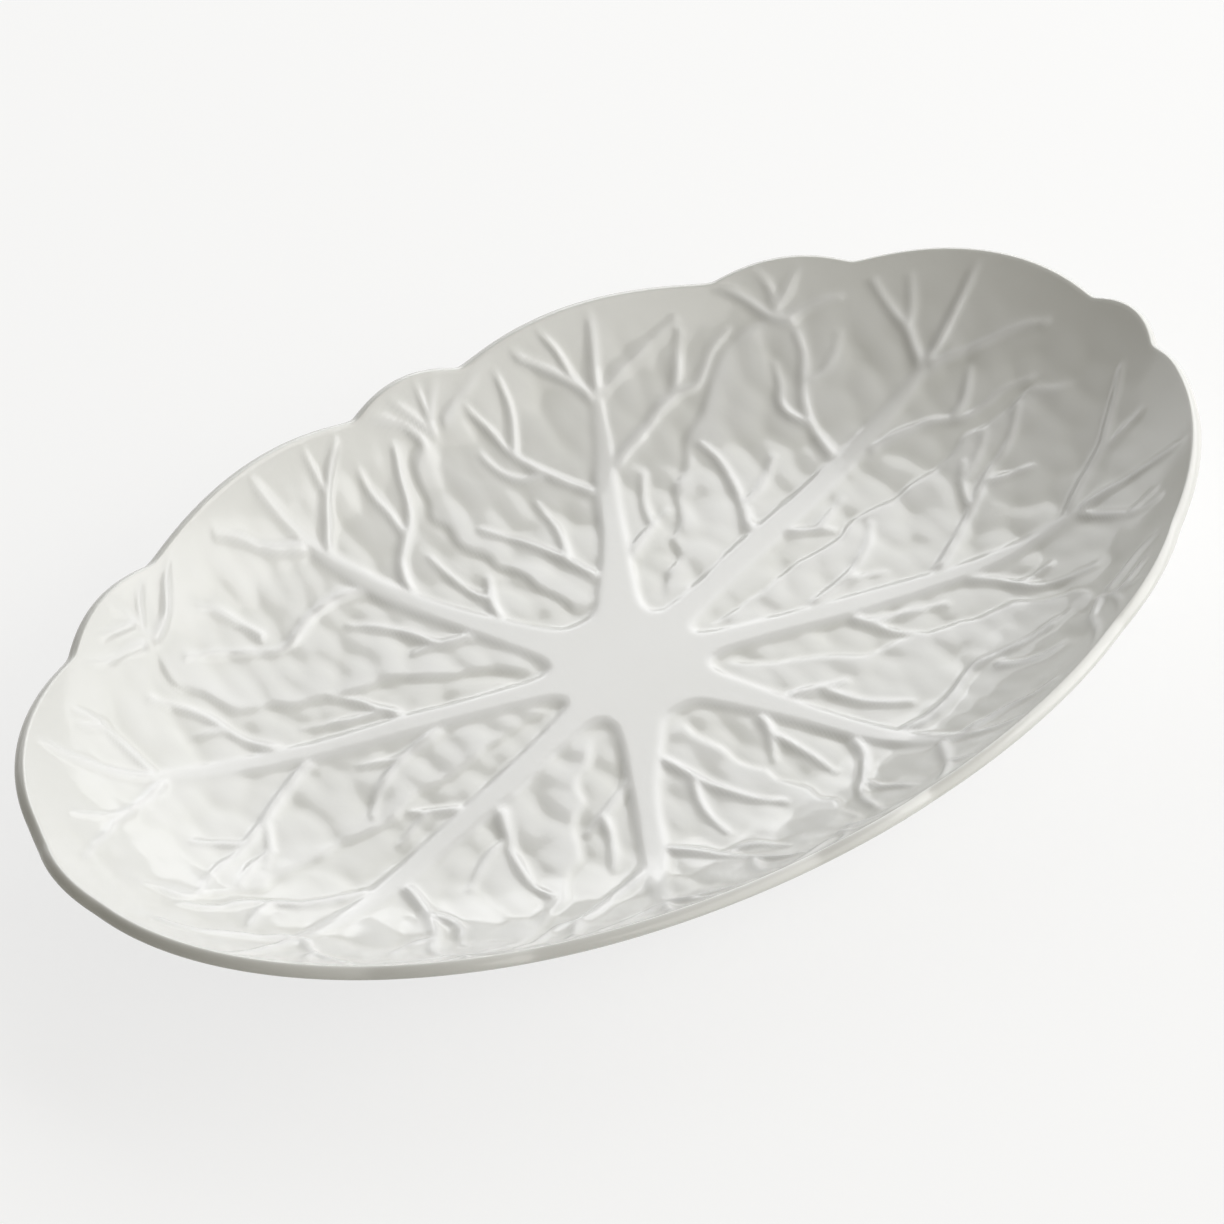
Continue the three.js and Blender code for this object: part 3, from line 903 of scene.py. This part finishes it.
def spun(profile: Iterable[Pair], steps: int) -> bmesh.types.BMesh:
    """Spins a closed profile about the vertical.

    Args:
        profile: Radius and height of each corner, in order round the section.
        steps: Steps in the full turn.

    Returns:
        The shape, with its poles closed.
    """
    shape = bmesh.new()
    verts = [shape.verts.new((radius, 0.0, height)) for radius, height in profile]
    edges = [shape.edges.new(pair) for pair in zip(verts, verts[1:])]
    if min(vert.co.x for vert in verts) > MERGE:
        edges.append(shape.edges.new((verts[-1], verts[0])))
    bmesh.ops.spin(
        shape, geom=verts + edges, cent=(0, 0, 0), axis=(0, 0, 1), angle=math.tau, steps=steps, use_merge=True
    )
    bmesh.ops.remove_doubles(shape, verts=shape.verts, dist=MERGE)
    return shape


@dataclass(frozen=True)
class LeafFace:
    """The glazed leaf side: a fine sheet over the whole leaf, rolled over the lip and closed underneath.

    Its mould's coordinates are a square grid from -1 to 1 and a ring number that counts down from 0.

    Attributes:
        dish: The plain form.
        leaf: The relief.
        cells: Cells along and across.
        lip_rings: Rings round the lip.
        tucked: Depth of the underside, as a share of the clay.
        under: Shares of the rim's radius at the rings underneath.
        calm: Weight of a point's own relief against that of one neighbour.
    """

    dish: Dish
    leaf: Leaf
    cells: tuple[int, int] = (372, 218)
    lip_rings: int = 8
    tucked: float = 0.4
    under: tuple[float, ...] = (0.985, 0.9, 0.8, 0.68, 0.5, 0.25, 0.0)
    calm: float = 4.0

    def shape(self) -> bmesh.types.BMesh:
        """Makes the sheet, with its border carried round the lip and back to the middle underneath.

        Returns:
            The sheet, in the mould's coordinates.
        """
        shape = bmesh.new()
        bmesh.ops.create_grid(shape, x_segments=self.cells[0], y_segments=self.cells[1], size=1.0)
        for ring in range(1, self.lip_rings + 1):
            grow_border(shape, -ring)
        shrunk = 1.0
        for step, share in enumerate(self.under, start=1):
            grow_border(shape, -self.lip_rings - step, share / shrunk if shrunk else 0.0)
            shrunk = share
        open_verts = [vert for vert in shape.verts if vert.is_boundary]
        bmesh.ops.remove_doubles(shape, verts=open_verts, dist=MERGE)
        return shape

    def mould(self, points: Array) -> tuple[Array, Array]:
        """Takes the sheet to the platter.

        Args:
            points: Rows of grid place and ring number.

        Returns:
            Points in millimetres, and the relief at each.
        """
        grid_x, grid_y, ring = points.T
        disc_x = grid_x * np.sqrt(np.maximum(0.0, 1.0 - grid_y**2 / 2))
        disc_y = grid_y * np.sqrt(np.maximum(0.0, 1.0 - grid_x**2 / 2))
        share = np.minimum(1.0, np.hypot(disc_x, disc_y))
        below = -ring > self.lip_rings
        share = np.where(below, np.maximum(np.abs(grid_x), np.abs(grid_y)), share)
        x, y = self.dish.plan(share, np.arctan2(disc_y, disc_x))
        relief = np.zeros_like(x)
        top = ring == 0.0
        relief[top] = self.calmed(self.leaf.relief(x[top], y[top], share[top]))
        lift = np.where(below, -self.tucked * self.dish.clay(x, y), self.dish.glaze + relief)
        placed = self.dish.place(x, y, lift)
        on_lip = ~top & ~below
        placed[on_lip] = self.lip(x[on_lip], y[on_lip], -ring[on_lip] / self.lip_rings)
        return placed, relief

    def calmed(self, relief: Array) -> Array:
        """Rounds the relief over neighbouring points of the grid, as a coat of glaze does.

        Args:
            relief: The relief at the grid's points, row by row.

        Returns:
            The rounded relief at the same points.
        """
        along, across = self.cells
        rows = np.pad(relief.reshape(across + 1, along + 1), 1, mode="edge")
        rows = (rows[:-2] + self.calm * rows[1:-1] + rows[2:]) / (self.calm + 2)
        rows = (rows[:, :-2] + self.calm * rows[:, 1:-1] + rows[:, 2:]) / (self.calm + 2)
        return rows.ravel()

    def lip(self, x: Array, y: Array, share: Array) -> Array:
        """Rolls the rim over.

        Args:
            x: Places of the rim in plan.
            y: Places of the rim in plan.
            share: Share of the way round the lip, from the leaf side to the back.

        Returns:
            Points on the lip.
        """
        normal = self.dish.normal(x, y)
        out = np.stack([x, y, np.zeros_like(x)], axis=-1)
        out = out - normal * np.sum(out * normal, axis=-1, keepdims=True)
        out = out / np.linalg.norm(out, axis=-1, keepdims=True)
        half = (self.dish.clay(x, y) / 2 + self.dish.glaze)[:, None]
        middle = self.dish.place(x, y, -self.dish.clay(x, y) / 2)
        angle = (share * math.pi)[:, None]
        return middle + normal * half * np.cos(angle) + out * self.dish.lip_crown * np.sin(angle)

    def build(self, workshop: Workshop) -> bpy.types.Object:
        """Makes the piece."""
        return workshop.dress(self.shape(), "leaf_glaze", Slot.GLAZE, self.mould)


@dataclass(frozen=True)
class Shell:
    """Pieces that follow the plain dish: the clay, the glaze on the back and the glaze inside the foot.

    Their mould's coordinates are a share of the rim's radius, and a depth in thicknesses of the clay.

    Attributes:
        dish: The plain form.
        steps: Steps round the rim, halved where little shows.
        coat: Thickness of the glaze, as a share of the clay's.
        clay_edge: Where the clay ends under the lip.
        clay_depths: Depths of the clay's top and bottom.
        foot_lap: Reach of the glaze under the foot ring.
        rings: Rings on each side of the clay, the back and the foot's inside.
        even_relief: Relief of these plain pieces, which sets how much painted shade their glaze gets.
    """

    dish: Dish
    steps: int = 480
    coat: float = 0.1
    clay_edge: float = 0.992
    clay_depths: Pair = (0.5, 0.99)
    foot_lap: float = 0.01
    rings: tuple[int, int, int] = (32, 28, 8)
    even_relief: float = 0.4

    def mould(self, points: Array) -> tuple[Array, Array]:
        """Takes a spun shape to the platter.

        Args:
            points: Rows of the spun place and its depth.

        Returns:
            Points in millimetres, and an even relief.
        """
        share = np.hypot(points[:, 0], points[:, 1])
        x, y = self.dish.plan(share, np.arctan2(points[:, 1], points[:, 0]))
        lift = points[:, 2] * self.dish.clay(x, y)
        return self.dish.place(x, y, lift), np.full(len(x), self.even_relief)

    def slab(self, first: float, last: float, count: int, top: float, bottom: float) -> list[Pair]:
        """Draws a section between two shares of the radius, out along its top and back along its bottom."""
        out = [(float(share), -top) for share in np.linspace(first, last, count)]
        return [*out, *((float(share), -bottom) for share in np.linspace(last, first, count))]

    def build(self, workshop: Workshop) -> list[bpy.types.Object]:
        """Makes the three pieces.

        Args:
            workshop: Where they are dressed.

        Returns:
            The pieces.
        """
        outer = self.dish.foot_length / self.dish.rim_length - self.foot_lap
        inner = (self.dish.foot_length - 2 * self.dish.foot_wall) / self.dish.rim_length + self.foot_lap
        clay = self.slab(0, self.clay_edge, self.rings[0], *self.clay_depths)
        back = self.slab(outer, 1, self.rings[1], 1.0, 1 + self.coat)
        well = self.slab(0, inner, self.rings[2], 1.0, 1 + self.coat)
        return [
            workshop.dress(spun(clay, self.steps // 2), "clay_body", Slot.CLAY, self.mould),
            workshop.dress(spun(back, self.steps), "back_glaze", Slot.GLAZE, self.mould),
            workshop.dress(spun(well, self.steps // 2), "foot_well_glaze", Slot.GLAZE, self.mould),
        ]


@dataclass(frozen=True)
class Foot:
    """The oval foot ring, with a rounded bearing edge.

    Its mould's coordinates are a radius, less by the inset from the ring's outside, and a share of height.
    """

    dish: Dish
    spindle: float = 100.0
    steps: int = 288
    side_steps: tuple[float, ...] = (0.0, 0.5, 1.0)
    side_drop: float = 0.72
    corner: tuple[Pair, ...] = ((0.1, 0.14), (0.35, 0.04), (0.8, 0.0))

    def profile(self) -> list[Pair]:
        """Draws the ring's section: sides that lean in, and a flat bearing face with eased corners.

        Returns:
            The section's corners.
        """
        wall = self.dish.foot_wall
        lean = self.dish.foot_batter
        side = [(lean * share, 1.0 - share * self.side_drop) for share in self.side_steps]
        corner = [(lean + gap, level) for gap, level in self.corner]
        inset = [*side, *corner, *((wall - gap, level) for gap, level in reversed([*side, *corner]))]
        return [(self.spindle - gap, level) for gap, level in inset]

    def mould(self, points: Array) -> tuple[Array, Array]:
        """Takes the spun ring to the platter, with its top on the clay's back.

        Args:
            points: Rows of the spun place and its share of height.

        Returns:
            Points in millimetres, and a relief of 0.
        """
        angle = np.arctan2(points[:, 1], points[:, 0])
        inset = self.spindle - np.hypot(points[:, 0], points[:, 1])
        radius = oval(self.dish.foot_length, self.dish.foot_width, angle) - inset
        x = radius * np.cos(angle)
        y = radius * np.sin(angle)
        top = self.dish.height(x, y) - self.dish.clay(x, y)
        return np.stack([x, y, top * points[:, 2]], axis=-1), np.zeros(len(x))

    def build(self, workshop: Workshop) -> bpy.types.Object:
        """Makes the piece."""
        return workshop.dress(spun(self.profile(), self.steps), "foot_ring", Slot.CLAY, self.mould)


@dataclass(frozen=True)
class Lamp:
    """A soft area lamp that faces the platter, in watts, metres and degrees, the azimuth from +X."""

    name: str
    power: float
    colour: Colour
    size: Pair
    azimuth: float
    elevation: float
    away: float = 2.0

    def build(self) -> None:
        """Adds the lamp to the scene."""
        data = bpy.data.lights.new(self.name, "AREA")
        data.shape = "RECTANGLE"
        data.energy = self.power
        data.color = self.colour
        data.size, data.size_y = self.size
        turn = math.radians(self.azimuth)
        tilt = math.radians(self.elevation)
        side = Vector((math.cos(turn) * math.cos(tilt), math.sin(turn) * math.cos(tilt), math.sin(tilt)))
        lamp = added(self.name, data)
        lamp.location = side * self.away
        lamp.rotation_euler = side.to_track_quat("Z", "Y").to_euler()


@dataclass(frozen=True)
class Studio:
    """Floor, light and camera.

    Attributes:
        azimuth: The camera's direction, in degrees.
        elevation: Its height above the horizon, in degrees.
        distance: From the point it looks at, in metres.
        aim: That point's offset to the camera's right and up, in metres.
        lens: Focal length.
        sensor: The sensor's width.
        sight: How far the camera sees, in metres.
        room: Colour and strength of the room's even light.
        floor_half: Half the floor's width, in metres.
        floor_colour: The floor's own colour.
        floor_glow: Share of the seen floor that is lit by itself.
        lamps: The lamps.
    """

    azimuth: float = -37.03
    elevation: float = 44.77
    distance: float = 1.6188
    aim: Pair = (-0.00542, 0.02393)
    lens: float = 147.12
    sensor: float = 36.0
    sight: float = 20.0
    room: Colour = (0.115, 0.104, 0.072)
    floor_half: float = 6.0
    floor_colour: Colour = (0.93, 0.93, 0.92)
    floor_glow: float = 0.75
    lamps: tuple[Lamp, ...] = (
        Lamp("window", 48.0, (0.98, 0.988, 1.0), (4.4, 1.6), 14.0, 37.0),
        Lamp("doorway", 20.0, (1.0, 0.985, 0.94), (2.4, 1.6), -56.0, 32.0),
        Lamp("back_window", 5.5, (0.98, 0.988, 1.0), (2.2, 0.9), 84.0, 20.0),
    )

    def camera(self) -> None:
        """Sets up the camera."""
        turn = math.radians(self.azimuth)
        tilt = math.radians(self.elevation)
        back = Vector((math.sin(turn) * math.cos(tilt), -math.cos(turn) * math.cos(tilt), math.sin(tilt)))
        right = Vector((math.cos(turn), math.sin(turn), 0.0))
        up = back.cross(right)
        data = bpy.data.cameras.new("portrait_camera")
        data.lens = self.lens
        data.sensor_width = self.sensor
        data.clip_end = self.sight
        camera = added("portrait_camera", data)
        place = right * self.aim[0] + up * self.aim[1] + back * self.distance
        camera.matrix_world = Matrix.Translation(place) @ Matrix((right, up, back)).transposed().to_4x4()
        bpy.context.scene.camera = camera

    def floor(self) -> None:
        """Lays the pale floor, mostly lit by itself where it is seen, so that it stays near white."""
        shape = bmesh.new()
        bmesh.ops.create_grid(shape, x_segments=1, y_segments=1, size=self.floor_half)
        mesh = bpy.data.meshes.new("floor")
        shape.to_mesh(mesh)
        shape.free()
        floor = added("floor", mesh)
        paint = Paint(bpy.data.materials.new("pale_floor"))
        dull = paint.node("ShaderNodeBsdfDiffuse", None, {"Color": (*self.floor_colour, 1.0)})
        white = paint.node("ShaderNodeEmission", None, {"Color": (1.0, 1.0, 1.0, 1.0), "Strength": 1.0})
        glow = paint.seen() * self.floor_glow
        surface = paint.node("ShaderNodeMixShader", None, {0: glow, 1: dull, 2: white})
        paint.node("ShaderNodeOutputMaterial", None, {"Surface": surface})
        mesh.materials.append(paint.owner)

    def sky(self) -> None:
        """Makes the world: a dim even light, and white where it is seen."""
        paint = Paint(bpy.data.worlds.new("sky"))
        colour = paint.blend(paint.seen(), self.room, (1.0, 1.0, 1.0))
        light = paint.node("ShaderNodeBackground", None, {"Color": colour})
        paint.node("ShaderNodeOutputWorld", None, {"Surface": light})
        bpy.context.scene.world = paint.owner

    def build(self) -> None:
        """Sets up the whole studio."""
        self.camera()
        self.floor()
        self.sky()
        for lamp in self.lamps:
            lamp.build()
        bpy.context.scene.view_settings.view_transform = "Standard"


def main() -> None:
    """Builds the platter and its studio."""
    logging.basicConfig(level=logging.INFO, format="%(name)s: %(message)s")
    dish = Dish()
    Studio().build()
    workshop = Workshop({Slot.CLAY: BareClay().material(), Slot.GLAZE: WhiteGlaze().material()})
    LeafFace(dish, Leaf()).build(workshop)
    Shell(dish).build(workshop)
    Foot(dish).build(workshop)
    for piece in workshop.pieces:
        LOG.info("%s: %d faces", piece.name, len(piece.data.polygons))


if __name__ == "__main__":
    main()
